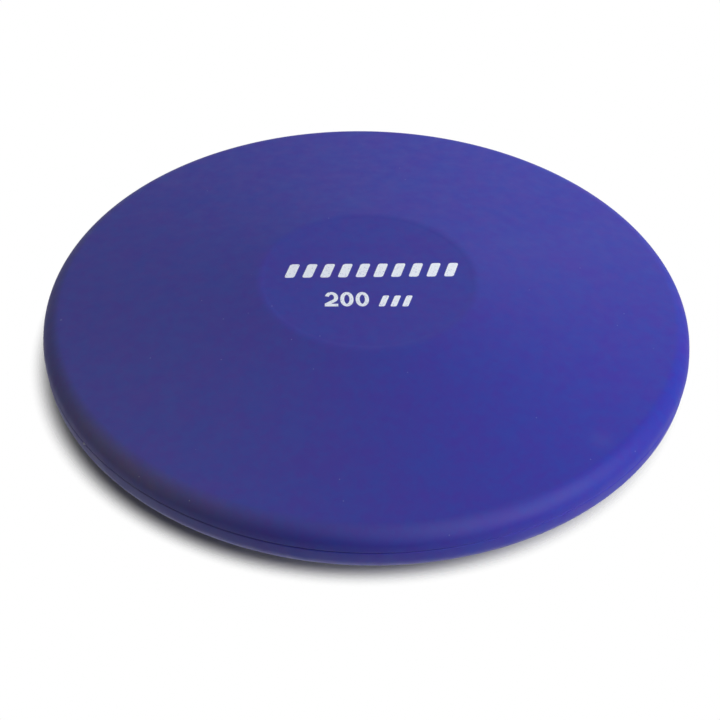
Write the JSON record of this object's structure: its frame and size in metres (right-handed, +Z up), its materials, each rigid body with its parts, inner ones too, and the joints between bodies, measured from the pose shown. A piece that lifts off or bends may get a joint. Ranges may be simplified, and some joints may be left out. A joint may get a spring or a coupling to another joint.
{
  "type": "soft discus",
  "caption": "Soft moulded training discus for indoor throwing, with tapered faces, a rounded rim, a seam round its edge and a shallow recess in the middle of each face.",
  "frame": {"origin": "on the axis of symmetry, in the plane of the flat ring that the discus rests on", "axes": "+Z up along the axis of symmetry, out of the marked face; the mark is read from the -Y side, with +X to the right"},
  "size_m": [0.18, 0.18, 0.032],
  "materials": {
    "shell_pvc": "satin moulded soft PVC",
    "ring_pvc": "matte",
    "core_foam": "matte closed-cell foam",
    "plug_pvc": "satin moulded soft PVC"
  },
  "bodies": {
    "discus": {"upper_shell": "shell_pvc", "lower_shell": "shell_pvc", "rim_weight_ring": "ring_pvc", "upper_core_pad": "core_foam", "lower_core_pad": "core_foam"},
    "plug": {"filler_plug": "plug_pvc"}
  },
  "joints": [
    {"name": "plug_pull", "type": "slide", "parent": "discus", "child": "plug", "axis": [0, 0, -1], "range_m": [0, 0.01]}
  ]
}
